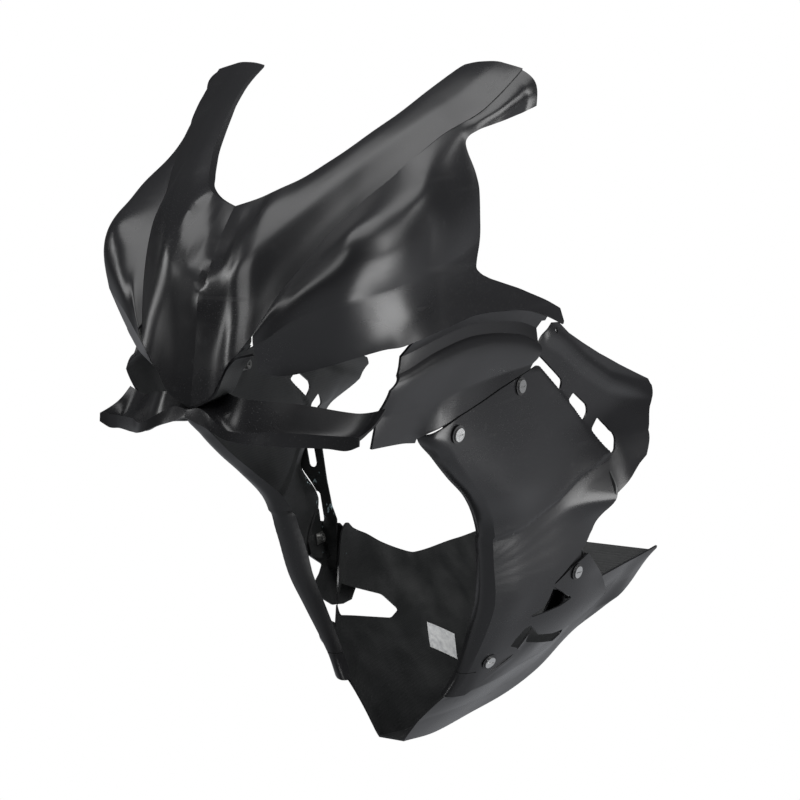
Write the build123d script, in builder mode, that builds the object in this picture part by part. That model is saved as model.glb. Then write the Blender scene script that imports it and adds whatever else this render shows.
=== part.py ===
"""Unpainted race bodywork for a motorcycle: one upper fairing, two side
panels with inner liners, a belly pan and the quarter-turn studs that join them.

Millimetres. X is sideways (the bike's left is +X), Y runs from the nose back,
Z is up. The symmetry plane is X = 0 and the belly rests at Z = 0.
"""
import os
from math import atan2, cos, degrees, hypot, radians, sin

from build123d import *

os.makedirs("parts", exist_ok=True)

# Driving dimensions
wall = 2.8            # laminate thickness of every moulding
seam_gap = 1.0        # gap where two mouldings meet edge to edge
tongue_gap = 1.2      # gap between a tongue and the skin it sits behind
root_wall = 4.9       # depth of the strip that bonds a tongue behind its own skin
root_inset = 1.3      # where that strip starts, inside its own skin
fan_axis_y = -160.0   # upright axis about which the nose sections are fanned
reach = 400.0         # longer than the half width, for side-view cuts

stud_head = 17.0      # head diameter of a quarter-turn stud
stud_head_rise = 2.2
stud_shank = 6.0
stud_length = 15.0
stud_slot = 1.6       # width of the turning slot in a head
stud_clearance = 1.2  # on diameter, hole in the skins over the shank
washer_clearance = 0.6
clip_clearance = 1.0
stud_lift = 0.1       # gap under a stud's head
washer_outer = 23.0
washer_rise = 0.9
washer_seat = 1.5     # how far a washer stands off the curved skin
clip_width = 26.0
clip_height = 16.0
clip_plate = 1.5
clip_barrel = 13.0
clip_depth = 7.0
clip_gap = 1.0        # gap between a clip and the tongue in front of it
duct_gap = 2.0        # gap between a duct flange and the skin outside it
label_length = 56.0
label_width = 46.0
label_gap = 0.7
label_depth = 0.3

frame_hole_d = 7.0    # hole that hangs each side panel on the bike's frame
frame_hole = (-16, 584)


# Curves that the skin passes through
def angle_of(point):
    x, y, _ = point
    return degrees(atan2(x, fan_axis_y - y))


def hermite(keys, rows, key):
    """Smooth value between rows of numbers placed at rising keys."""
    last = len(keys) - 1
    i = 0
    while i < last - 1 and key > keys[i + 1]:
        i += 1
    span = keys[i + 1] - keys[i]
    t = (key - keys[i]) / span

    def slope(j, n):
        a, b = max(j - 1, 0), min(j + 1, last)
        return (rows[b][n] - rows[a][n]) / (keys[b] - keys[a])

    out = []
    for n in range(len(rows[0])):
        p, q = rows[i][n], rows[i + 1][n]
        if not 0.0 <= t <= 1.0:
            out.append(p + (q - p) * t)
            continue
        m, w = slope(i, n) * span, slope(i + 1, n) * span
        out.append(
            (2 * t**3 - 3 * t**2 + 1) * p
            + (t**3 - 2 * t**2 + t) * m
            + (3 * t**2 - 2 * t**3) * q
            + (t**3 - t**2) * w
        )
    return out


def fanned(rail, angle):
    """Radius and height of a rail where the fanned plane at an angle meets it."""
    keys = [angle_of(p) for p in rail]
    rows = [(hypot(p[0], p[1] - fan_axis_y), p[2]) for p in rail]
    return tuple(hermite(keys, rows, angle))


def across(rail, y):
    """Sideways place and height of a rail at a distance along the bike."""
    return tuple(hermite([p[1] for p in rail], [(p[0], p[2]) for p in rail], y))


def offset_points(points, distance):
    """Points moved to the right of the direction of travel."""
    moved = []
    for i, (x, y) in enumerate(points):
        normals = []
        for a, b in ((i - 1, i), (i, i + 1)):
            if a < 0 or b >= len(points):
                continue
            dx, dy = points[b][0] - points[a][0], points[b][1] - points[a][1]
            size = hypot(dx, dy)
            normals.append((dy / size, -dx / size))
        nx = sum(n[0] for n in normals) / len(normals)
        ny = sum(n[1] for n in normals) / len(normals)
        square = nx * nx + ny * ny
        moved.append((x + distance * nx / square, y + distance * ny / square))
    return moved


def skin_section(plane, runs, thickness, inset=0.0):
    """Closed thin outline: the runs set in by the inset, and again by the wall."""
    joined = list(runs[0])
    for run in runs[1:]:
        joined += run[1:]
    outer = offset_points(joined, inset) if inset else joined
    inner = offset_points(joined, inset + thickness)
    with BuildSketch(plane) as section:
        with BuildLine():
            for line in (outer, inner):
                first = 0
                for run in runs:
                    points = line[first : first + len(run)]
                    first += len(run) - 1
                    if len(points) == 2:
                        Line(points[0], points[1])
                    else:
                        Spline(*points)
            Line(outer[-1], inner[-1])
            Line(inner[0], outer[0])
        make_face()
    return section.sketch.faces()[0]


def skin_sections(planes, profiles, thickness, inset=0.0):
    """One thin section of skin on each plane."""
    return [
        skin_section(plane, runs, thickness, inset) for plane, runs in zip(planes, profiles)
    ]


def fan_plane(angle):
    a = radians(angle)
    return Plane(
        origin=(0, fan_axis_y, 0),
        x_dir=(sin(a), -cos(a), 0),
        z_dir=(-cos(a), -sin(a), 0),
    )


def length_plane(y):
    return Plane(origin=(0, y, 0), x_dir=(1, 0, 0), z_dir=(0, -1, 0))


def level_plane(z):
    return Plane(origin=(0, 0, z), x_dir=(1, 0, 0), z_dir=(0, 0, 1))


def width_plane(x):
    return Plane(origin=(x, 0, 0), x_dir=(0, 1, 0), z_dir=(1, 0, 0))


side_view = width_plane(0)


# Upper fairing: rails in the order x, y, z
screen_edge = [
    (0, -435, 760), (29, -427, 770), (49, -413, 781), (63, -391, 791), (82, -356, 811),
    (104, -303, 841), (120, -257, 865), (134, -208, 891), (145, -152, 916), (153, -104, 932),
]
crease = [
    (0, -529, 542), (27, -530, 555), (38, -531, 572), (49, -533, 591), (65, -527, 610),
    (76, -513, 631), (89, -492, 663), (104, -465, 694), (121, -427, 732), (140, -367, 773),
    (176, -274, 834), (202, -199, 869), (219, -130, 916), (225, -108, 930),
]
cheek_brow = [
    (66, -527, 607), (92, -504, 656), (114, -476, 690), (136, -460, 714), (162, -444, 735),
    (184, -381, 760), (197, -340, 772), (198, -285, 786), (196, -242, 826), (205, -218, 845),
    (217, -187, 853), (228, -142, 864), (244, -124, 881),
]
cheek_full = [
    (65, -528, 604), (93, -507, 642), (120, -490, 674), (143, -476, 689), (169, -456, 701),
    (187, -428, 711), (197, -396, 717), (201, -331, 724), (202, -208, 732), (203, -100, 741),
]
cheek_foot = [
    (57, -532, 597), (69, -523, 608), (87, -511, 620), (111, -497, 639), (138, -478, 653),
    (163, -456, 661), (179, -422, 666), (190, -389, 672), (199, -307, 687), (200, -207, 710),
    (201, -100, 727), (201, -19, 736),
]
shoulder_edge = [
    (49, -533, 589), (66, -510, 584), (86, -478, 576), (107, -460, 579), (130, -444, 586),
    (156, -421, 595), (177, -401, 602), (190, -385, 604), (200, -361, 610), (208, -314, 618),
    (214, -242, 627), (218, -157, 624), (220, -99, 618), (222, -45, 605), (222, -10, 594),
    (222, 19, 584),
]
# Hood bulge over the chord from the screen edge to the crease
bulge_at = (0.15, 0.30, 0.42, 0.47, 0.60, 0.75, 0.88)
bulge_by = (0.076, 0.114, 0.130, 0.131, 0.105, 0.065, 0.034)
recess_depth = 6.0
screen_flange = 12.0  # width of the screen seat at the centre
crease_step = 1.6     # how far the cheek starts below the edge of the hood


arm_angle = 99.0      # fan angle past which the arms carry no more shape
lobe_swell = 7.0      # bulge of the outer lobe of each arm


def hood_profile(angle):
    top, foot = fanned(screen_edge, angle), fanned(crease, angle)
    dr, dz = foot[0] - top[0], foot[1] - top[1]
    length = hypot(dr, dz)
    fullness = 1.0 - 0.55 * min(max((angle - 10) / 60, 0), 1)
    recess_end = 0.45 - 0.033 * angle
    points = [top]
    for f, b in zip(bulge_at, bulge_by):
        rise = b * length * fullness
        rise -= recess_depth * min(max((recess_end - f) / 0.04, 0), 1)
        points.append((top[0] + f * dr - rise * dz / length, top[1] + f * dz + rise * dr / length))
    points.append(foot)
    seat = max(screen_flange * (1 - angle / 85), 4.0)
    return [(top[0] - seat, top[1] - 0.25 * seat), top], points


def cheek_profile(angle):
    held = min(angle, arm_angle)
    _, hood = hood_profile(held)
    foot, before = hood[-1], hood[-2]
    dr, dz = foot[0] - before[0], foot[1] - before[1]
    size = hypot(dr, dz)
    dr, dz = dr / size, dz / size
    fade = 0.25 if 42 < angle < 72 else 1.0
    sink = crease_step * fade
    start = (foot[0] + sink * dz - 3.0 * dr, foot[1] - sink * dr - 3.0 * dz)
    low, edge = fanned(cheek_foot, angle), fanned(shoulder_edge, angle)
    full = fanned(cheek_full, held)
    neck = (0.62 * low[0] + 0.38 * edge[0] - 3.0, 0.5 * low[1] + 0.5 * edge[1])
    brow = fanned(cheek_brow, held)
    br, bz = brow[0] - foot[0], brow[1] - foot[1]
    span = hypot(br, bz)
    swell = 0.04 * span + lobe_swell * min(max((held - 68) / 24, 0), 1)
    crown = (foot[0] + 0.5 * br - swell * bz / span, foot[1] + 0.5 * bz + swell * br / span)
    return [start, crown, brow, full, low], [low, neck, edge]


# Chin tray: lip foot, lip ridge, trough and rear edge, in the order x, y, z
lip_foot = [
    (0, -542, 532), (28, -544, 523), (57, -541, 511), (100, -497, 501), (142, -446, 497),
    (162, -432, 495), (177, -446, 501),
]
lip_ridge = [
    (0, -537, 540), (19, -537, 542), (57, -543, 522), (100, -502, 517), (142, -470, 512),
    (162, -462, 511), (177, -461, 511),
]
trough = [
    (0, -521, 540), (19, -521, 538), (55, -532, 515), (100, -489, 508), (142, -450, 503),
    (162, -440, 504), (177, -442, 515),
]
tray_back = [
    (0, -494, 559), (19, -494, 557), (55, -506, 552), (100, -458, 542), (145, -413, 529),
    (162, -402, 530), (177, -399, 535),
]


def along(rail, x):
    """Place along the bike and height of a rail at a distance sideways."""
    return tuple(hermite([p[0] for p in rail], [(p[1], p[2]) for p in rail], x))


def tray_profile(x):
    low, ridge = along(lip_foot, x), along(lip_ridge, x)
    sunk, back = along(trough, x), along(tray_back, x)
    middle = ((sunk[0] + back[0]) / 2, (sunk[1] + back[1]) / 2 - 3.0)
    if low[0] > ridge[0] - 1.0:
        low = (ridge[0] - 1.0, low[1])
    return [low, ridge], [ridge, sunk, middle, back]


# Flank: channel, pod and skirt behind the front opening
pod_top = [
    (182, -400, 566), (190, -366, 573), (198, -305, 588), (205, -220, 597), (211, -112, 587),
    (215, -63, 572), (217, -45, 560),
]
pod_foot = [
    (163, -410, 528), (172, -378, 524), (185, -280, 528), (195, -233, 537), (203, -142, 544),
    (212, -77, 548), (215, -45, 552),
]
skirt_foot = [
    (158, -404, 486), (162, -332, 482), (164, -290, 477), (178, -270, 481), (188, -240, 486),
    (201, -168, 505), (210, -100, 522), (214, -45, 534),
]
channel_depth = 13.0


def flank_profile(y):
    edge, top = across(shoulder_edge, y), across(pod_top, y)
    foot, skirt = across(pod_foot, y), across(skirt_foot, y)
    root = (edge[0] - channel_depth, 0.55 * edge[1] + 0.45 * top[1])
    shelf = (top[0] - 3.0, top[1] + 2.5)
    belly = (0.5 * top[0] + 0.5 * foot[0] + 5.0, 0.5 * top[1] + 0.5 * foot[1])
    edge_in = (edge[0] - 0.5, edge[1] + 1.5)
    return [edge_in, root], [root, shelf], [shelf, top, belly, foot], [foot, skirt]


# Side skin: level sections from the front return, round the nose, to the rear
side_levels = {
    80: [(66, -50), (76, -58), (86, -54), (98, -40), (104, -20), (112, 20), (122, 80), (128, 150)],
    119: [(86, -41), (98, -51), (108, -48), (116, -36), (122, -19), (133, 29), (146, 90), (152, 160)],
    180: [(108, -48), (124, -59), (139, -55), (150, -33), (160, -5), (178, 50), (193, 115), (198, 205)],
    228: [(124, -57), (141, -71), (158, -67), (172, -38), (182, 0), (196, 50), (208, 110), (207, 190)],
    290: [(136, -74), (152, -89), (168, -87), (183, -52), (195, -5), (206, 43), (217, 115), (222, 165)],
    341: [(142, -100), (158, -112), (173, -106), (187, -71), (197, -24), (210, 25), (232, 75), (258, 125)],
    385: [(154, -154), (169, -162), (182, -152), (195, -119), (205, -38), (219, 50), (242, 120), (265, 195)],
    418: [(156, -204), (171, -209), (184, -198), (197, -152), (208, -48), (220, 57), (240, 150), (259, 218)],
    450: [(157, -247), (172, -250), (185, -236), (198, -176), (209, -66), (218, 48), (228, 162), (239, 278)],
    484: [(158, -288), (174, -285), (187, -261), (199, -190), (209, -86), (218, 38), (225, 162), (230, 290)],
    541: [(176, -280), (190, -233), (198, -200), (203, -162), (211, -86), (218, 0), (222, 67), (227, 143)],
    598: [(176, -240), (185, -209), (196, -180), (203, -142), (211, -95), (217, -48), (221, 0), (226, 67)],
}


def side_skin(thickness, inset=0.0, low=0, high=999, rear_only=False):
    """A thin layer of the side skin, set in from the outer face."""
    levels = [z for z in side_levels if low <= z <= high]
    profiles = []
    for z in levels:
        points = side_levels[z]
        profiles.append([points[4:]] if rear_only else [points[:3], points[2:]])
    faces = skin_sections([level_plane(z) for z in levels], profiles, -thickness, -inset)
    return Solid.make_loft([face.outer_wire() for face in faces])


def side_x(y, z):
    """Half width of the outer face of the side skin at a place in side view."""
    levels = sorted(side_levels)
    widths = []
    for level in levels:
        points = side_levels[level][2:]
        widths.append(hermite([p[1] for p in points], [(p[0],) for p in points], y))
    return hermite(levels, widths, z)[0]


# Seams, outlines and openings in side view, in the order y, z
seam = [
    (-300, 482), (-287, 485), (-275, 490), (-241, 503), (-189, 516), (-155, 525), (-83, 541),
    (-70, 552), (-62, 566), (-57, 600),
]
side_outline = [
    (-66, 562), (-48, 580), (-25, 595), (-10, 594), (20, 577), (60, 560), (113, 539), (179, 516),
    (280, 483), (289, 472), (272, 451), (217, 421), (194, 390), (175, 381), (119, 349),
    (112, 323), (112, 296), (102, 277), (68, 254), (42, 235), (40, 222), (38, 209), (28, 198),
    (13, 191), (3, 178), (-6, 147), (-22, 134), (-36, 120), (-330, 120),
]
vents = [
    [(-82, 540), (-63, 562), (4, 521), (13, 515), (9, 501), (-57, 544)],
    [(47, 495), (88, 472), (91, 462), (79, 451), (31, 484)],
    [(119, 452), (140, 433), (144, 421), (136, 404), (130, 400), (96, 437)],
]
belly_outline = [
    (114, 262), (142, 241), (176, 218), (210, 183), (168, 160), (126, 146), (95, 147),
    (60, 154), (24, 176), (15, 172), (8, 158), (7, 148), (24, 142), (38, 134), (36, 126),
    (10, 112), (-20, 98), (-40, 86), (-75, 84), (-75, 119), (-37, 119), (-23, 133),
    (-7, 146), (2, 178), (12, 190), (27, 197), (36, 209), (38, 222), (40, 231), (72, 250),
]
opening_one = [(37, 231), (91, 203), (69, 195), (40, 191), (15, 189), (24, 200), (34, 212)]
duct_hole = [(86, 180), (185, 142), (205, 116), (179, 110), (51, 143), (53, 158)]
rear_tongue = [(43, 244), (68, 264), (99, 286), (101, 232), (88, 214), (45, 224)]
rear_root = [(42, 236), (68, 255), (99, 276), (104, 284), (104, 300), (66, 270), (36, 250)]
front_tongue = [
    (2, 186), (-7, 148), (-22, 134), (-33, 122), (-24, 118), (-10, 118), (2, 130), (6, 150),
    (12, 180),
]
front_root = [
    (2, 188), (-6, 148), (-21, 135), (-34, 121), (-46, 124), (-34, 148), (-20, 160), (-10, 188),
]


# Upper fairing
rear_trim = [
    (-122, 884), (-128, 872), (-142, 864), (-187, 853), (-218, 845), (-232, 838), (-239, 830),
    (-237, 818), (-220, 777), (-212, 744), (-207, 725), (-206, 710), (-215, 689), (-218, 680),
    (-206, 672), (-186, 665), (-119, 648), (-42, 625), (2, 610), (8, 600), (-6, 590),
    (60, 560), (120, 700), (120, 1000), (-122, 1000),
]
arm_end = -130.0
hood_angles = (0, 3, 6, 9, 12, 17, 23, 30, 38, 48, 60, 74, 88, 99)
cheek_angles = (12, 15, 19, 25, 31, 37, 44, 54, 66, 80, 96, 112, 126)
tray_stations = (0, 10, 19, 30, 42, 57, 78, 100, 122, 142, 155, 166, 177)
flank_stations = (-398, -385, -366, -335, -300, -280, -260, -220, -168, -112, -75, -50)
strut_cut = [
    (-450, 640), (-360, 640), (-370, 600), (-377, 577), (-389, 562), (-412, 546), (-436, 536),
    (-450, 536),
]

# Belly pan: half sections at rising distances along the bike
belly_y = (
    -64, -40, -20, 5, 29, 60, 80, 95, 110, 128, 150, 173, 195, 234, 272, 297, 350, 409, 440,
    466, 505, 545,
)
keel = [
    (-57, 19, 14), (29, 19, 0.7), (124, 28, 3), (219, 43, 11), (297, 57, 29), (409, 67, 62),
    (466, 109, 105), (545, 132, 165),
]
low_chine = [
    (-57, 40, 45), (29, 57, 43), (124, 71, 46), (219, 81, 57), (297, 90, 76), (409, 95, 95),
    (466, 119, 111), (545, 139, 166),
]
high_chine = [
    (-57, 60, 70), (29, 105, 86), (124, 124, 100), (219, 128, 109), (297, 125, 128),
    (409, 125, 137), (466, 136, 143), (545, 144, 168),
]
belly_side = [
    (-57, 70, 80), (29, 125, 112), (90, 158, 150), (124, 165, 160), (219, 166, 180),
    (297, 146, 158), (409, 142, 160), (466, 145, 160), (545, 147, 171),
]
belly_top = [
    (-64, 78, 88), (-40, 98, 98), (-20, 115, 108), (5, 129, 118), (29, 141, 132),
    (60, 156, 163), (80, 166, 186), (95, 173, 222), (110, 177, 250), (128, 179, 260),
    (150, 182, 248), (173, 184, 238), (195, 184, 229), (234, 179, 208), (272, 166, 190),
    (297, 157, 182), (409, 152, 178), (466, 150, 176), (545, 148, 175),
]


def belly_profile(y):
    places = []
    for rail in (keel, low_chine, high_chine, belly_side, belly_top):
        places.append(tuple(hermite([p[0] for p in rail], [p[1:] for p in rail], y)))
    k, low, high, side, top = places
    return [(0, k[1]), k], [k, low], [low, high], [high, side, top]


front_lip = [
    (-30, 125), (-37, 104), (-48, 81), (-59, 45), (-62, 21), (-57, -5), (600, -5), (600, 300),
    (-30, 300),
]

def sections(profile, plane, stations, thickness=wall):
    return skin_sections([plane(s) for s in stations], [profile(s) for s in stations], thickness)


def cut_outline(points, mode=Mode.SUBTRACT, start=0.0, amount=reach):
    """In a part block: keep or cut the outline seen from the side."""
    with BuildSketch(width_plane(start)) as outline:
        with BuildLine():
            Polyline(*points, close=True)
        make_face()
    extrude(outline.sketch.faces()[0], amount=amount, dir=(1, 0, 0), mode=mode)


with BuildPart() as cowl:
    loft(sections(hood_profile, fan_plane, hood_angles))
    loft(sections(cheek_profile, fan_plane, cheek_angles))
    cut_outline(rear_trim)
    cut_outline([(arm_end, 800), (arm_end, 1000), (0, 1000), (0, 800)], start=-1)

with BuildPart() as flank:
    loft(sections(flank_profile, length_plane, flank_stations))
    cut_outline(strut_cut)
    cut_outline([(y, z + seam_gap / 2) for y, z in seam] + [(0, 600), (0, 440), (-300, 440)])

with BuildPart() as upper_tongue:
    add(side_skin(wall, wall + tongue_gap, 400, 600))
    cut_outline(
        [(-262, 500), (-189, 522), (-95, 545), (-95, 511), (-189, 488), (-262, 462)],
        Mode.INTERSECT,
    )

with BuildPart() as upper_root:
    add(side_skin(root_wall, root_inset, 400, 600))
    cut_outline(
        [(-262, 508), (-189, 528), (-125, 543), (-125, 532), (-189, 517), (-262, 497)],
        Mode.INTERSECT,
    )

with BuildPart() as tray:
    loft(sections(tray_profile, width_plane, tray_stations))

beak_foot = [(12, 548), (27, 556), (38, 573), (49, 592), (58, 601)]
with BuildPart() as beak:
    foot = [(-x, z) for x, z in reversed(beak_foot)] + [(0, 543)] + beak_foot
    face = skin_section(length_plane(-528.4), [foot], -wall)
    extrude(face, amount=-38)

with BuildPart() as upper_shell:
    add(cowl.part)
    add(flank.part)
    add(upper_tongue.part)
    add(upper_root.part)
    add(tray.part)

with BuildPart() as side_shell:
    add(side_skin(wall, 0, 119))
    cut_outline(
        side_outline + [(-330, 481)] + [(y, z - seam_gap / 2) for y, z in seam[:8]], Mode.INTERSECT
    )
    for vent in vents:
        cut_outline(vent)

tongues = []
for tongue_shape, root_shape in ((rear_tongue, rear_root), (front_tongue, front_root)):
    with BuildPart() as side_tongue:
        add(side_skin(wall, wall + tongue_gap, 80, 300))
        cut_outline(tongue_shape, Mode.INTERSECT)
    with BuildPart() as side_root:
        add(side_skin(root_wall, root_inset, 80, 350))
        cut_outline(root_shape, Mode.INTERSECT)
    tongues += [side_tongue.part, side_root.part]

with BuildPart() as side_whole:
    add(side_shell.part)
    for piece in tongues:
        add(piece)

# Bonded duct flange inside the rear edge, with its three slots
flange_top = (118, 400)
flange_slope = 0.064
flange_outline = [
    (212, 405), (212, 370), (203, 325), (193, 287), (184, 268), (182, 232), (182, 196),
    (260, 196), (290, 405),
]
slot_width = 13.0
slots = [((236, 388), (225, 341)), ((220, 306), (210, 260)), ((205, 230), (197, 207))]
flange_face = Plane(
    origin=(0, flange_top[0], flange_top[1]), x_dir=(1, 0, 0), z_dir=(0, -1, flange_slope)
)
with BuildPart() as duct_slab:
    with BuildSketch(flange_face):
        with BuildLine():
            Polyline(*[(x, z - flange_top[1]) for x, z in flange_outline], close=True)
        make_face()
        for high, low in slots:
            (hx, hz), (lx, lz) = high, low
            tilt = degrees(atan2(hz - lz, hx - lx))
            middle = ((hx + lx) / 2, (hz + lz) / 2 - flange_top[1], 0)
            length = hypot(hx - lx, hz - lz) - slot_width
            with Locations(Location(middle, (0, 0, tilt))):
                SlotCenterToCenter(length, slot_width, mode=Mode.SUBTRACT)
    extrude(amount=-wall)
with BuildPart() as left_duct_flange:
    add(side_skin(60, wall + duct_gap, 119, 420, True))
    add(duct_slab.part, mode=Mode.INTERSECT)

with BuildPart() as bowl:
    loft(sections(belly_profile, length_plane, belly_y, -wall))
    cut_outline(front_lip, Mode.INTERSECT, start=-1)
    cut_outline(duct_hole, start=120, amount=56)

with BuildPart() as belly_plate:
    add(side_skin(wall, 0, 0, 400))
    cut_outline(belly_outline, Mode.INTERSECT)
    cut_outline(opening_one)

# Wall that returns from the rear edge of the tab to the bowl
with BuildPart() as tab_return:
    add(side_skin(36, 0.8, 119, 341, True))
    cut_outline(
        [
            (114, 262), (142, 241), (176, 218), (210, 183), (207.5, 181.5), (174, 215.5),
            (140, 238.5), (112.5, 259.5),
        ],
        Mode.INTERSECT, start=179,
    )

with BuildPart() as belly_shell:
    add(bowl.part)
    add(belly_plate.part)
    add(tab_return.part)

# Quarter-turn studs: places in side view, each with the skin it clamps
stud_places = [
    ((-106, 523), side_whole.part), ((-244, 482), side_whole.part),
    ((85, 242), belly_shell.part), ((-23, 133), belly_shell.part),
]
seats = []
for (y, z), skin in stud_places:
    hits = skin.find_intersection_points(Axis((0, y, z), (1, 0, 0)))
    point, normal = max(hits, key=lambda hit: hit[0].X)
    if normal.X < 0:
        normal = -normal
    seats.append(Plane(origin=point, z_dir=normal, x_dir=(0, 1, 0)))


def on_both_sides(name, build):
    """One node of separate equal solids, at every seat and its mirror image."""
    solids = []
    for seat in seats:
        with BuildPart(seat) as piece:
            build()
        solids += [piece.part.solids()[0], piece.part.solids()[0].mirror(Plane.YZ)]
    group = Compound(label=name, children=solids)
    export_step(group, f"parts/{name}.step")
    return group


def stud():
    head_seat = washer_seat + washer_rise + stud_lift
    with Locations((0, 0, head_seat)):
        Cylinder(stud_head / 2, stud_head_rise, align=(Align.CENTER, Align.CENTER, Align.MIN))
        Cylinder(stud_shank / 2, stud_length, align=(Align.CENTER, Align.CENTER, Align.MAX))
    with Locations((0, 0, head_seat + stud_head_rise)):
        Box(
            stud_head * 0.7, stud_slot, 1.0, align=(Align.CENTER, Align.CENTER, Align.MAX),
            mode=Mode.SUBTRACT,
        )


def washer():
    bore = (stud_shank + washer_clearance) / 2
    with Locations((0, 0, washer_seat)):
        Cylinder(washer_outer / 2, washer_rise, align=(Align.CENTER, Align.CENTER, Align.MIN))
        Cylinder(
            bore, washer_rise, align=(Align.CENTER, Align.CENTER, Align.MIN), mode=Mode.SUBTRACT
        )


def receptacle():
    bore = (stud_shank + clip_clearance) / 2
    with Locations((0, 0, -(2 * wall + tongue_gap + clip_gap))):
        Box(clip_width, clip_height, clip_plate, align=(Align.CENTER, Align.CENTER, Align.MAX))
        Cylinder(clip_barrel / 2, clip_depth, align=(Align.CENTER, Align.CENTER, Align.MAX))
        Cylinder(
            bore, clip_depth, align=(Align.CENTER, Align.CENTER, Align.MAX), mode=Mode.SUBTRACT
        )


on_both_sides("quarter_turn_studs", stud)
on_both_sides("stud_washers", washer)
on_both_sides("stud_receptacles", receptacle)

hole = (stud_shank + stud_clearance) / 2
with BuildPart() as half_upper:
    add(upper_shell.part)
    with Locations(seats[0], seats[1]):
        Cylinder(hole, 40, mode=Mode.SUBTRACT)
with BuildPart() as upper_fairing:
    add(half_upper.part)
    mirror(about=Plane.YZ)
    add(beak.part)
upper_fairing.part.label = "upper_fairing"
export_step(upper_fairing.part, "parts/upper_fairing.step")

with BuildPart() as left_side_panel:
    add(side_whole.part)
    with Locations(*seats):
        Cylinder(hole, 40, mode=Mode.SUBTRACT)
    with Locations(Plane(origin=(side_x(*frame_hole), *frame_hole), z_dir=(1, 0, 0))):
        Cylinder(frame_hole_d / 2, 30, mode=Mode.SUBTRACT)
with BuildPart() as right_side_panel:
    add(left_side_panel.part.mirror(Plane.YZ))
with BuildPart() as right_duct_flange:
    add(left_duct_flange.part.mirror(Plane.YZ))
with BuildPart() as half_belly:
    add(belly_shell.part)
    with Locations(seats[2], seats[3]):
        Cylinder(hole, 40, mode=Mode.SUBTRACT)
with BuildPart() as belly_pan:
    add(half_belly.part)
    mirror(about=Plane.YZ)

# Blank paper label on the inside of the belly
label_face = Plane(origin=(82, 249, 63), x_dir=(0, 1, 0), z_dir=(-0.74, 0, 0.67))
with BuildPart() as label_half:
    stations = [y for y in belly_y if 190 < y < 360]
    loft(
        skin_sections(
            [length_plane(y) for y in stations], [belly_profile(y) for y in stations],
            -label_depth, -(wall + label_gap),
        )
    )
    with BuildSketch(label_face):
        Rectangle(label_length, label_width, rotation=40)
    extrude(amount=30, both=True, mode=Mode.INTERSECT)
with BuildPart() as blank_label:
    add(label_half.part.mirror(Plane.YZ))

for name, node in (
    ("left_side_panel", left_side_panel), ("right_side_panel", right_side_panel),
    ("left_duct_flange", left_duct_flange), ("right_duct_flange", right_duct_flange),
    ("belly_pan", belly_pan), ("blank_label", blank_label),
):
    node.part.label = name
    export_step(node.part, f"parts/{name}.step")
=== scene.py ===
"""Detailed look of the unpainted race bodywork, fitted to its CAD frame."""
from math import atan2, cos, degrees, hypot, radians, sin

import bmesh
import bpy
import numpy as np
from mathutils import Euler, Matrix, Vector


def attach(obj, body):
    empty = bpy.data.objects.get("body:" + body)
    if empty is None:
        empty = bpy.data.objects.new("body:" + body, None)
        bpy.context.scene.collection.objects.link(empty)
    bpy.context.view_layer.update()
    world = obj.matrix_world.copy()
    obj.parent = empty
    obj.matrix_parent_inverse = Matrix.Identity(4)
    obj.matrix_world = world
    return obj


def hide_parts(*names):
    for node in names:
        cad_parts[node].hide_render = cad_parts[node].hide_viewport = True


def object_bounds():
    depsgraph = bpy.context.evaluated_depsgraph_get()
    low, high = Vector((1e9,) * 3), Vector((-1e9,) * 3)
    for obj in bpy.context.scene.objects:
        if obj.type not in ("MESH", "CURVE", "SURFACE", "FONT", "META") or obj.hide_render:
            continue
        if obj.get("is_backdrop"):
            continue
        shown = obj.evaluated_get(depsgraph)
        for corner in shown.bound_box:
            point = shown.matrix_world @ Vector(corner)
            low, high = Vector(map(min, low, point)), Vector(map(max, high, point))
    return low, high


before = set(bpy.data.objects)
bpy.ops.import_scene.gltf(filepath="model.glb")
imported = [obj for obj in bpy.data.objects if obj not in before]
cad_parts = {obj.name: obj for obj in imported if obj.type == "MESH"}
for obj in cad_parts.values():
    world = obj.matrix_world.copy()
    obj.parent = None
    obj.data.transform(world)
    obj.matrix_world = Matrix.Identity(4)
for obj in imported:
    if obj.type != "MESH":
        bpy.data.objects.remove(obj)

bl_info = {
    "name": "Race bodywork",
    "version": (1, 0, 0),
    "blender": (4, 5, 0),
    "location": "View3D > Sidebar > Bodywork",
    "description": "Unpainted race bodywork: upper fairing, side panels and belly pan",
    "category": "Object",
}

# Millimetres, as in the CAD source; meshes are made in metres
MM = 0.001
wall = 2.8            # laminate thickness of every moulding
seam_gap = 1.0        # gap where two mouldings meet edge to edge
tongue_gap = 1.2      # gap between a tongue and the skin it sits behind
fan_axis_y = -160.0   # upright axis about which the nose sections are fanned
reach = 400.0         # longer than the half width, for side-view cuts
stud_hole = 3.6       # radius of the holes under the quarter-turn studs
frame_hole_r = 3.5
frame_hole = (-16, 584)
stud_places = [(-106, 523), (-244, 482), (85, 242), (-23, 133)]

# Metres: where the bonding resin shows inside, along the bike and in height
resin_place, resin_spread = 0.108, 0.016
resin_foot, resin_top = 0.215, 0.335

# Metres and watts: the camera and the lamps as name, place, size and power
camera_place = (1.2511, -2.3588, 0.9071)
camera_tilt, camera_heading = 80.79, 28.31
lens, sensor = 90.0, 36.0
middle = (0, 0, 0.45)
near_cheek = (0.2, -0.3, 0.75)
lamps = (
    ("over", (0.3, -0.4, 3.0), middle, (2.6, 1.9), 46),
    ("low", (2.2, 0.1, 0.05), near_cheek, (1.5, 1.1), 34),
    ("front", (0.2, -3.4, 2.6), middle, (2.4, 1.2), 34),
    ("right", (3.0, 0.4, 1.9), middle, (1.0, 1.6), 34),
    ("left", (-2.6, -1.8, 1.9), middle, (1.0, 1.6), 30),
)
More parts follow.
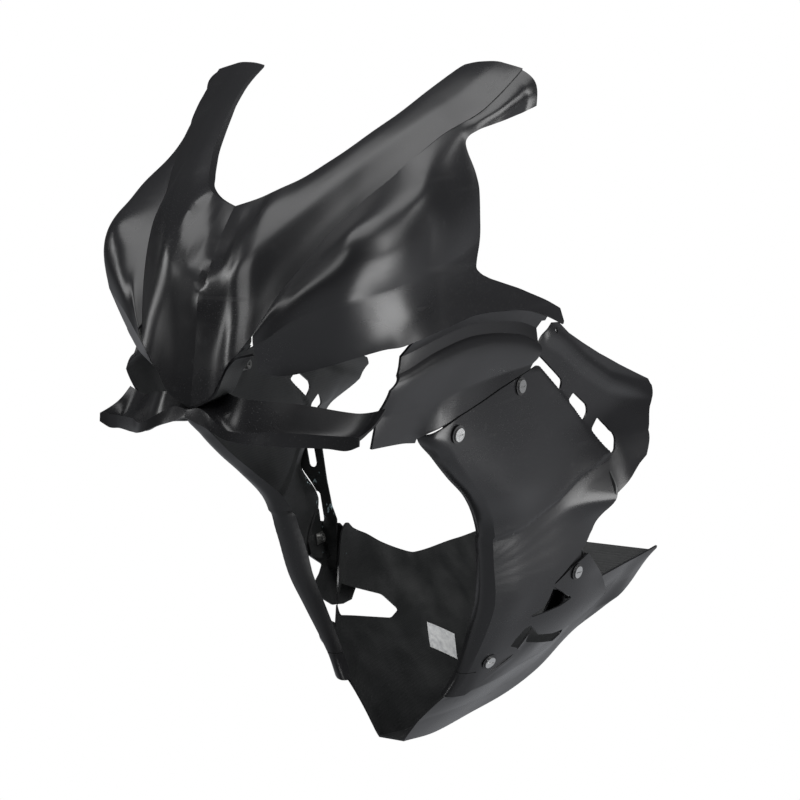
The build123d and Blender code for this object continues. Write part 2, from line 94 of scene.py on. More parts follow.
# Brightness of the surroundings by height, from straight down to straight up
sky = ((0.30, 0.40), (0.43, 0.18), (0.50, 0.05), (0.66, 0.045), (0.85, 0.10))


# Curves that the skin passes through
def angle_of(point):
    x, y, _ = point
    return degrees(atan2(x, fan_axis_y - y))


def hermite(keys, rows, key):
    """Smooth value between rows of numbers placed at rising keys."""
    last = len(keys) - 1
    i = 0
    while i < last - 1 and key > keys[i + 1]:
        i += 1
    span = keys[i + 1] - keys[i]
    t = (key - keys[i]) / span

    def slope(j, n):
        a, b = max(j - 1, 0), min(j + 1, last)
        return (rows[b][n] - rows[a][n]) / (keys[b] - keys[a])

    out = []
    for n in range(len(rows[0])):
        p, q = rows[i][n], rows[i + 1][n]
        if not 0.0 <= t <= 1.0:
            out.append(p + (q - p) * t)
            continue
        m, w = slope(i, n) * span, slope(i + 1, n) * span
        out.append(
            (2 * t**3 - 3 * t**2 + 1) * p
            + (t**3 - 2 * t**2 + t) * m
            + (3 * t**2 - 2 * t**3) * q
            + (t**3 - t**2) * w
        )
    return out


def fanned(rail, angle):
    """Radius and height of a rail where the fanned plane at an angle meets it."""
    keys = [angle_of(p) for p in rail]
    rows = [(hypot(p[0], p[1] - fan_axis_y), p[2]) for p in rail]
    return tuple(hermite(keys, rows, angle))


def across(rail, y):
    """Sideways place and height of a rail at a distance along the bike."""
    return tuple(hermite([p[1] for p in rail], [(p[0], p[2]) for p in rail], y))


def offset_points(points, distance):
    """Points moved to the right of the direction of travel."""
    moved = []
    for i, (x, y) in enumerate(points):
        normals = []
        for a, b in ((i - 1, i), (i, i + 1)):
            if a < 0 or b >= len(points):
                continue
            dx, dy = points[b][0] - points[a][0], points[b][1] - points[a][1]
            size = hypot(dx, dy)
            normals.append((dy / size, -dx / size))
        nx = sum(n[0] for n in normals) / len(normals)
        ny = sum(n[1] for n in normals) / len(normals)
        square = nx * nx + ny * ny
        moved.append((x + distance * nx / square, y + distance * ny / square))
    return moved


# Upper fairing: rails in the order x, y, z
screen_edge = [
    (0, -435, 760), (29, -427, 770), (49, -413, 781), (63, -391, 791), (82, -356, 811),
    (104, -303, 841), (120, -257, 865), (134, -208, 891), (145, -152, 916), (153, -104, 932),
]
crease = [
    (0, -529, 542), (27, -530, 555), (38, -531, 572), (49, -533, 591), (65, -527, 610),
    (76, -513, 631), (89, -492, 663), (104, -465, 694), (121, -427, 732), (140, -367, 773),
    (176, -274, 834), (202, -199, 869), (219, -130, 916), (225, -108, 930),
]
cheek_brow = [
    (66, -527, 607), (92, -504, 656), (114, -476, 690), (136, -460, 714), (162, -444, 735),
    (184, -381, 760), (197, -340, 772), (198, -285, 786), (196, -242, 826), (205, -218, 845),
    (217, -187, 853), (228, -142, 864), (244, -124, 881),
]
cheek_full = [
    (65, -528, 604), (93, -507, 642), (120, -490, 674), (143, -476, 689), (169, -456, 701),
    (187, -428, 711), (197, -396, 717), (201, -331, 724), (202, -208, 732), (203, -100, 741),
]
cheek_foot = [
    (57, -532, 597), (69, -523, 608), (87, -511, 620), (111, -497, 639), (138, -478, 653),
    (163, -456, 661), (179, -422, 666), (190, -389, 672), (199, -307, 687), (200, -207, 710),
    (201, -100, 727), (201, -19, 736),
]
shoulder_edge = [
    (49, -533, 589), (66, -510, 584), (86, -478, 576), (107, -460, 579), (130, -444, 586),
    (156, -421, 595), (177, -401, 602), (190, -385, 604), (200, -361, 610), (208, -314, 618),
    (214, -242, 627), (218, -157, 624), (220, -99, 618), (222, -45, 605), (222, -10, 594),
    (222, 19, 584),
]
# Hood bulge over the chord from the screen edge to the crease
bulge_at = (0.15, 0.30, 0.42, 0.47, 0.60, 0.75, 0.88)
bulge_by = (0.076, 0.114, 0.130, 0.131, 0.105, 0.065, 0.034)
recess_depth = 6.0
screen_flange = 12.0  # width of the screen seat at the centre
crease_step = 1.6     # how far the cheek starts below the edge of the hood


arm_angle = 99.0      # fan angle past which the arms carry no more shape
lobe_swell = 7.0      # bulge of the outer lobe of each arm


def hood_profile(angle):
    top, foot = fanned(screen_edge, angle), fanned(crease, angle)
    dr, dz = foot[0] - top[0], foot[1] - top[1]
    length = hypot(dr, dz)
    fullness = 1.0 - 0.55 * min(max((angle - 10) / 60, 0), 1)
    recess_end = 0.45 - 0.033 * angle
    points = [top]
    for f, b in zip(bulge_at, bulge_by):
        rise = b * length * fullness
        rise -= recess_depth * min(max((recess_end - f) / 0.04, 0), 1)
        points.append((top[0] + f * dr - rise * dz / length, top[1] + f * dz + rise * dr / length))
    points.append(foot)
    seat = max(screen_flange * (1 - angle / 85), 4.0)
    return [(top[0] - seat, top[1] - 0.25 * seat), top], points


def cheek_profile(angle):
    held = min(angle, arm_angle)
    _, hood = hood_profile(held)
    foot, before = hood[-1], hood[-2]
    dr, dz = foot[0] - before[0], foot[1] - before[1]
    size = hypot(dr, dz)
    dr, dz = dr / size, dz / size
    fade = 0.25 if 42 < angle < 72 else 1.0
    sink = crease_step * fade
    start = (foot[0] + sink * dz - 3.0 * dr, foot[1] - sink * dr - 3.0 * dz)
    low, edge = fanned(cheek_foot, angle), fanned(shoulder_edge, angle)
    full = fanned(cheek_full, held)
    neck = (0.62 * low[0] + 0.38 * edge[0] - 3.0, 0.5 * low[1] + 0.5 * edge[1])
    brow = fanned(cheek_brow, held)
    br, bz = brow[0] - foot[0], brow[1] - foot[1]
    span = hypot(br, bz)
    swell = 0.04 * span + lobe_swell * min(max((held - 68) / 24, 0), 1)
    crown = (foot[0] + 0.5 * br - swell * bz / span, foot[1] + 0.5 * bz + swell * br / span)
    return [start, crown, brow, full, low], [low, neck, edge]


# Chin tray: lip foot, lip ridge, trough and rear edge, in the order x, y, z
lip_foot = [
    (0, -542, 532), (28, -544, 523), (57, -541, 511), (100, -497, 501), (142, -446, 497),
    (162, -432, 495), (177, -446, 501),
]
lip_ridge = [
    (0, -537, 540), (19, -537, 542), (57, -543, 522), (100, -502, 517), (142, -470, 512),
    (162, -462, 511), (177, -461, 511),
]
trough = [
    (0, -521, 540), (19, -521, 538), (55, -532, 515), (100, -489, 508), (142, -450, 503),
    (162, -440, 504), (177, -442, 515),
]
tray_back = [
    (0, -494, 559), (19, -494, 557), (55, -506, 552), (100, -458, 542), (145, -413, 529),
    (162, -402, 530), (177, -399, 535),
]


def along(rail, x):
    """Place along the bike and height of a rail at a distance sideways."""
    return tuple(hermite([p[0] for p in rail], [(p[1], p[2]) for p in rail], x))


def tray_profile(x):
    low, ridge = along(lip_foot, x), along(lip_ridge, x)
    sunk, back = along(trough, x), along(tray_back, x)
    middle = ((sunk[0] + back[0]) / 2, (sunk[1] + back[1]) / 2 - 3.0)
    if low[0] > ridge[0] - 1.0:
        low = (ridge[0] - 1.0, low[1])
    return [low, ridge], [ridge, sunk, middle, back]


# Flank: channel, pod and skirt behind the front opening
pod_top = [
    (182, -400, 566), (190, -366, 573), (198, -305, 588), (205, -220, 597), (211, -112, 587),
    (215, -63, 572), (217, -45, 560),
]
pod_foot = [
    (163, -410, 528), (172, -378, 524), (185, -280, 528), (195, -233, 537), (203, -142, 544),
    (212, -77, 548), (215, -45, 552),
]
skirt_foot = [
    (158, -404, 486), (162, -332, 482), (164, -290, 477), (178, -270, 481), (188, -240, 486),
    (201, -168, 505), (210, -100, 522), (214, -45, 534),
]
channel_depth = 13.0


def flank_profile(y):
    edge, top = across(shoulder_edge, y), across(pod_top, y)
    foot, skirt = across(pod_foot, y), across(skirt_foot, y)
    root = (edge[0] - channel_depth, 0.55 * edge[1] + 0.45 * top[1])
    shelf = (top[0] - 3.0, top[1] + 2.5)
    belly = (0.5 * top[0] + 0.5 * foot[0] + 5.0, 0.5 * top[1] + 0.5 * foot[1])
    edge_in = (edge[0] - 0.5, edge[1] + 1.5)
    return [edge_in, root], [root, shelf], [shelf, top, belly, foot], [foot, skirt]


# Side skin: level sections from the front return, round the nose, to the rear
side_levels = {
    80: [
        (66, -50), (76, -58), (86, -54), (98, -40),
        (104, -20), (112, 20), (122, 80), (128, 150),
    ],
    119: [
        (86, -41), (98, -51), (108, -48), (116, -36),
        (122, -19), (133, 29), (146, 90), (152, 160),
    ],
    180: [
        (108, -48), (124, -59), (139, -55), (150, -33),
        (160, -5), (178, 50), (193, 115), (198, 205),
    ],
    228: [
        (124, -57), (141, -71), (158, -67), (172, -38),
        (182, 0), (196, 50), (208, 110), (207, 190),
    ],
    290: [
        (136, -74), (152, -89), (168, -87), (183, -52),
        (195, -5), (206, 43), (217, 115), (222, 165),
    ],
    341: [
        (142, -100), (158, -112), (173, -106), (187, -71),
        (197, -24), (210, 25), (232, 75), (258, 125),
    ],
    385: [
        (154, -154), (169, -162), (182, -152), (195, -119),
        (205, -38), (219, 50), (242, 120), (265, 195),
    ],
    418: [
        (156, -204), (171, -209), (184, -198), (197, -152),
        (208, -48), (220, 57), (240, 150), (259, 218),
    ],
    450: [
        (157, -247), (172, -250), (185, -236), (198, -176),
        (209, -66), (218, 48), (228, 162), (239, 278),
    ],
    484: [
        (158, -288), (174, -285), (187, -261), (199, -190),
        (209, -86), (218, 38), (225, 162), (230, 290),
    ],
    541: [
        (176, -280), (190, -233), (198, -200), (203, -162),
        (211, -86), (218, 0), (222, 67), (227, 143),
    ],
    598: [
        (176, -240), (185, -209), (196, -180), (203, -142),
        (211, -95), (217, -48), (221, 0), (226, 67),
    ],
}


def side_x(y, z):
    """Half width of the outer face of the side skin at a place in side view."""
    levels = sorted(side_levels)
    widths = []
    for level in levels:
        points = side_levels[level][2:]
        widths.append(hermite([p[1] for p in points], [(p[0],) for p in points], y))
    return hermite(levels, widths, z)[0]


# Seams, outlines and openings in side view, in the order y, z
seam = [
    (-300, 482), (-287, 485), (-275, 490), (-241, 503), (-189, 516), (-155, 525), (-83, 541),
    (-70, 552), (-62, 566), (-57, 600),
]
side_outline = [
    (-66, 562), (-48, 580), (-25, 595), (-10, 594), (20, 577), (60, 560), (113, 539), (179, 516),
    (280, 483), (289, 472), (272, 451), (217, 421), (194, 390), (175, 381), (119, 349),
    (112, 323), (112, 296), (102, 277), (68, 254), (42, 235), (40, 222), (38, 209), (28, 198),
    (13, 191), (3, 178), (-6, 147), (-22, 134), (-36, 120), (-330, 120),
]
vents = [
    [(-82, 540), (-63, 562), (4, 521), (13, 515), (9, 501), (-57, 544)],
    [(47, 495), (88, 472), (91, 462), (79, 451), (31, 484)],
    [(119, 452), (140, 433), (144, 421), (136, 404), (130, 400), (96, 437)],
]
belly_outline = [
    (114, 262), (142, 241), (176, 218), (210, 183), (168, 160), (126, 146), (95, 147),
    (60, 154), (24, 176), (15, 172), (8, 158), (7, 148), (24, 142), (38, 134), (36, 126),
    (10, 112), (-20, 98), (-40, 86), (-75, 84), (-75, 119), (-37, 119), (-23, 133),
    (-7, 146), (2, 178), (12, 190), (27, 197), (36, 209), (38, 222), (40, 231), (72, 250),
]
opening_one = [(37, 231), (91, 203), (69, 195), (40, 191), (15, 189), (24, 200), (34, 212)]
duct_hole = [(86, 180), (185, 142), (205, 116), (179, 110), (51, 143), (53, 158)]
rear_tongue = [(43, 244), (68, 264), (99, 286), (101, 232), (88, 214), (45, 224)]
front_tongue = [
    (2, 186), (-7, 148), (-22, 134), (-33, 122), (-24, 118), (-10, 118), (2, 130), (6, 150),
    (12, 180),
]
rear_trim = [
    (-122, 884), (-128, 872), (-142, 864), (-187, 853), (-218, 845), (-232, 838), (-239, 830),
    (-237, 818), (-220, 777), (-212, 744), (-207, 725), (-206, 710), (-215, 689), (-218, 680),
    (-206, 672), (-186, 665), (-119, 648), (-42, 625), (2, 610), (8, 600), (-6, 590),
    (60, 560), (120, 700), (120, 1000), (-122, 1000),
]
arm_end = -130.0
strut_cut = [
    (-450, 640), (-360, 640), (-370, 600), (-377, 577), (-389, 562), (-412, 546), (-436, 536),
    (-450, 536),
]

# Belly pan rails: place along the bike, half width, height
keel = [
    (-57, 19, 14), (29, 19, 0.7), (124, 28, 3), (219, 43, 11), (297, 57, 29), (409, 67, 62),
    (466, 109, 105), (545, 132, 165),
]
low_chine = [
    (-57, 40, 45), (29, 57, 43), (124, 71, 46), (219, 81, 57), (297, 90, 76), (409, 95, 95),
    (466, 119, 111), (545, 139, 166),
]
high_chine = [
    (-57, 60, 70), (29, 105, 86), (124, 124, 100), (219, 128, 109), (297, 125, 128),
    (409, 125, 137), (466, 136, 143), (545, 144, 168),
]
belly_side = [
    (-57, 70, 80), (29, 125, 112), (90, 158, 150), (124, 165, 160), (219, 166, 180),
    (297, 146, 158), (409, 142, 160), (466, 145, 160), (545, 147, 171),
]
belly_top = [
    (-64, 78, 88), (-40, 98, 98), (-20, 115, 108), (5, 129, 118), (29, 141, 132),
    (60, 156, 163), (80, 166, 186), (95, 173, 222), (110, 177, 250), (128, 179, 260),
    (150, 182, 248), (173, 184, 238), (195, 184, 229), (234, 179, 208), (272, 166, 190),
    (297, 157, 182), (409, 152, 178), (466, 150, 176), (545, 148, 175),
]


def belly_profile(y):
    places = []
    for rail in (keel, low_chine, high_chine, belly_side, belly_top):
        places.append(tuple(hermite([p[0] for p in rail], [p[1:] for p in rail], y)))
    k, low, high, side, top = places
    return [(0, k[1]), k], [k, low], [low, high], [high, side, top]


front_lip = [
    (-30, 125), (-37, 104), (-48, 81), (-59, 45), (-62, 21), (-57, -5), (600, -5), (600, 300),
    (-30, 300),
]
upper_tongue = [(-262, 500), (-189, 522), (-95, 545), (-95, 511), (-189, 488), (-262, 462)]
beak_foot = [(0, 543), (12, 548), (27, 556), (38, 573), (49, 592), (58, 601)]
beak_reach = (-528.4, -491)
past_middle = 5       # how far a cut starts beyond the symmetry plane
tongue_corner = 8     # rounding of the upper tongues and the strut
return_wall = (0, 1.6, 2.2)
tab_edge = [(114, 262), (142, 241), (176, 218), (210, 183)]


# Raised plate at the front of each side panel, seen from the side
plate_edge = [
    (-330, 560), (-57, 541), (46, 473), (124, 403), (117, 400), (59, 379), (20, 355),
    (-18, 339), (-43, 330), (-120, 318), (-330, 318),
]
# Crease along the rear frame of each side panel
frame_crease = [(-30, 580), (5, 566), (70, 530), (150, 496), (282, 462)]


def settings():
    return bpy.context.scene.bodywork_sizes


def colours():
    return bpy.context.scene.bodywork_colours


# Sheets of points and closed skins
def spline(points, count):
    """Evenly spread points along the smooth curve through a run."""
    p = np.array(points, float)
    if len(p) == 2:
        return p[0] + (p[1] - p[0]) * np.linspace(0, 1, count)[:, None]
    t = np.concatenate([[0], np.cumsum(np.linalg.norm(np.diff(p, axis=0), axis=1))])
    n, h = len(t), np.diff(t)
    a, b = np.zeros((n, n)), np.zeros((n, p.shape[1]))
    a[0, 0] = a[-1, -1] = 1
    for i in range(1, n - 1):
        a[i, i - 1], a[i, i], a[i, i + 1] = h[i - 1], 2 * (h[i - 1] + h[i]), h[i]
        b[i] = 6 * ((p[i + 1] - p[i]) / h[i] - (p[i] - p[i - 1]) / h[i - 1])
    m = np.linalg.solve(a, b)
    s = np.linspace(0, t[-1], count)
    k = np.clip(np.searchsorted(t, s, side="right") - 1, 0, n - 2)
    u, w, g = (s - t[k])[:, None], (t[k + 1] - s)[:, None], h[k][:, None]
    bend = (m[k] * w**3 + m[k + 1] * u**3) / (6 * g)
    return bend + (p[k] / g - m[k] * g / 6) * w + (p[k + 1] / g - m[k + 1] * g / 6) * u


def on_fan(angle, u, v):
    a = radians(angle)
    return u * sin(a), fan_axis_y - u * cos(a), v


def on_length(y, u, v):
    return u, y, v


def on_level(z, u, v):
    return u, v, z


def on_width(x, u, v):
    return x, u, v


def sheet(place, stations, profile, counts, inset):
    """Grid of points: one row for each station, set in from the outer face."""
    rows = []
    for station in stations:
        runs = profile(station)
        joined = list(runs[0])
        for run in runs[1:]:
            joined += run[1:]
        line = offset_points(joined, inset) if inset else joined
        row, first = [], 0
        for run, count in zip(runs, counts):
            piece = spline(line[first : first + len(run)], count)
            first += len(run) - 1
            row.extend(piece if not row else piece[1:])
        rows.append([place(station, u, v) for u, v in row])
    return np.array(rows, float)


def closed_skin(name, outer, inner):
    """A closed thin mesh between two grids; the inner face has its own material."""
    rows, columns = outer.shape[:2]
    count = rows * columns
    points = np.concatenate([outer.reshape(-1, 3), inner.reshape(-1, 3)]) * MM
    quads, inside = [], []
    for i in range(rows - 1):
        for j in range(columns - 1):
            a = i * columns + j
            quads.append((a, a + 1, a + columns + 1, a + columns))
            inside.append(0)
            quads.append((count + a, count + a + columns, count + a + columns + 1, count + a + 1))
            inside.append(1)
    rim = [i * columns for i in range(rows)]
    rim += [(rows - 1) * columns + j for j in range(1, columns)]
    rim += [i * columns + columns - 1 for i in range(rows - 2, -1, -1)]
    rim += list(range(columns - 2, 0, -1))
    for a, b in zip(rim, rim[1:] + rim[:1]):
        quads.append((a, b, b + count, a + count))
        inside.append(0)
    mesh = bpy.data.meshes.new(name)
    mesh.from_pydata(points.tolist(), [], quads)
    mesh.polygons.foreach_set("material_index", inside)
    work = bmesh.new()
    work.from_mesh(mesh)
    bmesh.ops.recalc_face_normals(work, faces=work.faces)
    work.to_mesh(mesh)
    work.free()
    thing = bpy.data.objects.new(name, mesh)
    bpy.context.scene.collection.objects.link(thing)
    for material in (gel_coat(), laminate()):
        mesh.materials.append(material)
    return thing


def skin(name, place, stations, profile, counts, thickness, inset=0.0, shape=None):
    grids = []
    for distance in (inset, inset + thickness):
        grid = sheet(place, stations, profile, counts, distance)
        grids.append(shape(grid) if shape else grid)
    return closed_skin(name, *grids)


def rounded(points, radius, steps=4):
    """The outline with its corners rounded off."""
    out = []
    for i, corner in enumerate(points):
        p, a, b = Vector(corner), Vector(points[i - 1]), Vector(points[(i + 1) % len(points)])
        back, on = a - p, b - p
        r = min(radius, back.length * 0.45, on.length * 0.45)
        s, e = p + back.normalized() * r, p + on.normalized() * r
        for k in range(steps + 1):
            t = k / steps
            out.append(tuple(s * (1 - t) ** 2 + p * 2 * t * (1 - t) + e * t * t))
    return out


def prism(points, start=0.0, amount=reach):
    """Block with the given outline in side view, for a cut."""
    n = len(points)
    corners = [(start * MM, y * MM, z * MM) for y, z in points]
    corners += [((start + amount) * MM, y * MM, z * MM) for y, z in points]
    faces = [list(range(n)), list(range(2 * n - 1, n - 1, -1))]
    faces += [(i, (i + 1) % n, n + (i + 1) % n, n + i) for i in range(n)]
    mesh = bpy.data.meshes.new("cutter")
    mesh.from_pydata(corners, [], faces)
    work = bmesh.new()
    work.from_mesh(mesh)
    bmesh.ops.recalc_face_normals(work, faces=work.faces)
    work.to_mesh(mesh)
    work.free()
    cutter = bpy.data.objects.new("cutter", mesh)
    bpy.context.scene.collection.objects.link(cutter)
    return cutter


def circle(centre, radius, steps=24):
    """Round outline in side view."""
    turns = [radians(360 * k / steps) for k in range(steps)]
    return [(centre[0] + radius * cos(t), centre[1] + radius * sin(t)) for t in turns]


def trim(thing, cutter, operation="DIFFERENCE"):
    """Cuts a mesh with a block, and removes the block."""
    modifier = thing.modifiers.new("trim", "BOOLEAN")
    modifier.operation = operation
    modifier.solver = "EXACT"
    modifier.object = cutter
    bpy.context.view_layer.update()
    graph = bpy.context.evaluated_depsgraph_get()
    mesh = bpy.data.meshes.new_from_object(thing.evaluated_get(graph))
    if not len(mesh.polygons):
        raise RuntimeError(f"nothing is left of {thing.name} after a cut")
    thing.modifiers.clear()
    thing.data = mesh
    bpy.data.objects.remove(cutter)


def drill(thing, places, start=0.0):
    """Stud holes at places in side view."""
    for place in places:
        trim(thing, prism(circle(place, stud_hole), start=start))


def gather(name, things, mirrored, node):
    """Joins skins into one piece for the left, the right or both sides."""
    work = bmesh.new()
    for thing in things:
        work.from_mesh(thing.data)
        bpy.data.objects.remove(thing)
    if mirrored != "left":
        copy = work.copy()
        if mirrored == "right":
            work.clear()
        bmesh.ops.scale(copy, vec=(-1, 1, 1), verts=copy.verts)
        bmesh.ops.reverse_faces(copy, faces=copy.faces)
        other = bpy.data.meshes.new("other_side")
        copy.to_mesh(other)
        copy.free()
        work.from_mesh(other)
        bpy.data.meshes.remove(other)
    mesh = bpy.data.meshes.new(name)
    work.to_mesh(mesh)
    work.free()
    mesh.materials.append(gel_coat())
    mesh.materials.append(laminate())
    mesh.shade_smooth()
    mesh.set_sharp_from_angle(angle=settings().sharp_angle)
    piece = bpy.data.objects.new(name, mesh)
    bpy.context.scene.collection.objects.link(piece)
    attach(piece, "root")
    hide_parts(node)
    return piece


# Relief of the side skin
def distance_to(points, places, closed=True):
    """Distance of each place to a polyline, below zero inside a closed one."""
    best = np.full(len(places), 1e9)
    inside = np.zeros(len(places), bool)
    ends = list(zip(points, points[1:] + points[:1])) if closed else list(zip(points, points[1:]))
    for a, b in ends:
        a, b = np.array(a, float), np.array(b, float)
        t = np.clip(((places - a) @ (b - a)) / ((b - a) @ (b - a)), 0, 1)
        best = np.minimum(best, np.linalg.norm(places - a - t[:, None] * (b - a), axis=1))
        if closed and a[1] != b[1]:
            crosses = (a[1] > places[:, 1]) != (b[1] > places[:, 1])
            at = a[0] + (places[:, 1] - a[1]) * (b[0] - a[0]) / (b[1] - a[1])
            inside ^= crosses & (places[:, 0] < at)
    return np.where(inside, -best, best) if closed else best


def smooth(value, low, high):
    t = np.clip((value - low) / (high - low), 0, 1)
    return t * t * (3 - 2 * t)


def side_relief(grid):
    """Sinks the skin behind the raised plate and raises the rear frame."""
    places = grid[:, :, 1:].reshape(-1, 2)
    away = distance_to(plate_edge, places)
    depth = settings().plate_step / MM
    sink = depth * smooth(away, -1, 4) * (1 - smooth(away, 30, 110))
    sink *= 1 - smooth(places[:, 0], 120, 150) * (places[:, 1] < 430)
    crease_away = distance_to(frame_crease, places, closed=False)
    rise = settings().frame_rise / MM * (1 - smooth(crease_away, 2, 16))
    streak = 0.15 * np.sin(np.degrees(np.arctan2(places[:, 1] - 250, places[:, 0] + 160)) * 0.9)
    streak *= smooth(away, 4, 20) * (1 - smooth(away, 60, 120)) * (places[:, 1] < 400)
    grid = grid.copy()
    grid[:, :, 0] += (rise - sink + streak).reshape(grid.shape[:2])
    return grid


def side_profile(z):
    rows = [[value for point in side_levels[level] for value in point] for level in side_levels]
    flat = hermite(list(side_levels), rows, z)
    points = [(flat[2 * k], flat[2 * k + 1]) for k in range(8)]
    return [points[:3], points[2:]]


def side_layer(name, low, high, inset=0.0, step=4.0, counts=(12, 110), relief=True):
    levels = np.arange(low, high + 0.01, step)
    shape = side_relief if relief else None
    return skin(name, on_level, levels, side_profile, counts, -wall, -inset, shape)


# Looks
def group(name, outputs):
    """A new shader group with its output sockets; gives the tree and its end."""
    tree = bpy.data.node_groups.new(name, "ShaderNodeTree")
    for label, kind in outputs:
        tree.interface.new_socket(label, in_out="OUTPUT", socket_type=kind)
    return tree, tree.nodes.new("NodeGroupOutput")


def noise(tree, scale, detail=4.0, stretch=(1, 1, 1), turn=(0, 0, 0)):
    coordinates = tree.nodes.new("ShaderNodeTexCoord")
    mapping = tree.nodes.new("ShaderNodeMapping")
    mapping.inputs["Scale"].default_value = stretch
    mapping.inputs["Rotation"].default_value = turn
    texture = tree.nodes.new("ShaderNodeTexNoise")
    texture.inputs["Scale"].default_value = scale
    texture.inputs["Detail"].default_value = detail
    tree.links.new(coordinates.outputs["Object"], mapping.inputs["Vector"])
    tree.links.new(mapping.outputs["Vector"], texture.inputs["Vector"])
    return texture.outputs["Fac"]


def remap(tree, value, low, high, to_low=0.0, to_high=1.0):
    node = tree.nodes.new("ShaderNodeMapRange")
    node.inputs["From Min"].default_value = low
    node.inputs["From Max"].default_value = high
    node.inputs["To Min"].default_value = to_low
    node.inputs["To Max"].default_value = to_high
    tree.links.new(value, node.inputs["Value"])
    return node.outputs["Result"]


def calc(tree, operation, a, b):
    node = tree.nodes.new("ShaderNodeMath")
    node.operation = operation
    for socket, value in zip(node.inputs, (a, b)):
        if isinstance(value, (int, float)):
            socket.default_value = value
        else:
            tree.links.new(value, socket)
    return node.outputs[0]


def blend_colour(tree, factor, a, b):
    node = tree.nodes.new("ShaderNodeMix")
    node.data_type = "RGBA"
    tree.links.new(factor, node.inputs["Factor"])
    for socket, value in ((node.inputs[6], a), (node.inputs[7], b)):
        if isinstance(value, (tuple, list)):
            socket.default_value = value
        else:
            tree.links.new(value, socket)
    return node.outputs[2]


def bump(tree, height, strength, distance):
    node = tree.nodes.new("ShaderNodeBump")
    node.inputs["Strength"].default_value = strength
    node.inputs["Distance"].default_value = distance
    tree.links.new(height, node.inputs["Height"])
    return node.outputs["Normal"]


def wear_group():
    """Fine scratches, smears and dust on a moulded surface."""
    tree = bpy.data.node_groups.get("surface_wear")
    if tree:
        return tree
    outputs = (
        ("Scratches", "NodeSocketFloat"), ("Smears", "NodeSocketFloat"),
        ("Dust", "NodeSocketFloat"), ("Normal", "NodeSocketVector"),
    )
    tree, end = group("surface_wear", outputs)
    fine = remap(tree, noise(tree, 60, 6, (1, 0.06, 1), (0.4, 0.2, 0.9)), 0.62, 0.70)
    cross = remap(tree, noise(tree, 48, 6, (0.07, 1, 1), (0.1, 0.7, -0.5)), 0.64, 0.72)
    scratches = calc(tree, "MAXIMUM", fine, cross)
    smears = remap(tree, noise(tree, 7, 5, (1, 0.6, 1.3)), 0.40, 0.68)
    speck = remap(tree, noise(tree, 900, 2), 0.66, 0.74)
    patch = remap(tree, noise(tree, 5, 4), 0.42, 0.66)
    ripple = noise(tree, 14, 2)
    tree.links.new(scratches, end.inputs["Scratches"])
    tree.links.new(smears, end.inputs["Smears"])
    tree.links.new(calc(tree, "MULTIPLY", speck, patch), end.inputs["Dust"])
    tree.links.new(bump(tree, ripple, 0.10, 0.002), end.inputs["Normal"])
    return tree


def weave_group():
    """Glass cloth and resin marks on the inside of a moulding."""
    tree = bpy.data.node_groups.get("laminate_weave")
    if tree:
        return tree
    outputs = [(label, "NodeSocketFloat") for label in ("Height", "Blotch", "Resin")]
    tree, end = group("laminate_weave", outputs)
    coordinates = tree.nodes.new("ShaderNodeTexCoord")
    waves = []
    for direction in ("Y", "Z"):
        wave = tree.nodes.new("ShaderNodeTexWave")
        wave.bands_direction = direction
        wave.inputs["Scale"].default_value = 90.0
        wave.inputs["Distortion"].default_value = 1.2
        tree.links.new(coordinates.outputs["Object"], wave.inputs["Vector"])
        waves.append(wave.outputs["Fac"])
    tree.links.new(calc(tree, "MULTIPLY", *waves), end.inputs["Height"])
    tree.links.new(remap(tree, noise(tree, 16, 6), 0.35, 0.70), end.inputs["Blotch"])
    split = tree.nodes.new("ShaderNodeSeparateXYZ")
    tree.links.new(coordinates.outputs["Object"], split.inputs["Vector"])
    near_bond = calc(tree, "COMPARE", split.outputs["Y"], resin_place)
    near_bond.node.inputs[2].default_value = resin_spread
    below = calc(tree, "LESS_THAN", split.outputs["Z"], resin_top)
    above = calc(tree, "GREATER_THAN", split.outputs["Z"], resin_foot)
    band = calc(tree, "MULTIPLY", near_bond, calc(tree, "MULTIPLY", below, above))
    spots = remap(tree, noise(tree, 150, 3, (1, 1, 0.45)), 0.66, 0.70)
    tree.links.new(calc(tree, "MULTIPLY", band, spots), end.inputs["Resin"])
    return tree


def new_material(name):
    material = bpy.data.materials.new(name)
    material.use_nodes = True
    return material, material.node_tree, material.node_tree.nodes["Principled BSDF"]


def use_group(tree, which):
    node = tree.nodes.new("ShaderNodeGroup")
    node.node_tree = which
    return node


def gel_coat():
    """Gloss black gel coat with fine scratches, smears and dust."""
    if bpy.data.materials.get("gel_coat"):
        return bpy.data.materials["gel_coat"]
    material, tree, surface = new_material("gel_coat")
    wear = use_group(tree, wear_group())
    base = tuple(colours().gel_coat)
    dusty = blend_colour(tree, wear.outputs["Dust"], base, tuple(colours().dust))
    tree.links.new(dusty, surface.inputs["Base Color"])
    rough = remap(tree, wear.outputs["Smears"], 0, 1, settings().gloss, settings().gloss + 0.10)
    scored = calc(tree, "MULTIPLY", wear.outputs["Scratches"], 0.05)
    dull = calc(tree, "MULTIPLY", wear.outputs["Dust"], 0.25)
    rough = calc(tree, "ADD", rough, calc(tree, "ADD", scored, dull))
    tree.links.new(rough, surface.inputs["Roughness"])
    tree.links.new(wear.outputs["Normal"], surface.inputs["Normal"])
    surface.inputs["IOR"].default_value = 1.5
    return material


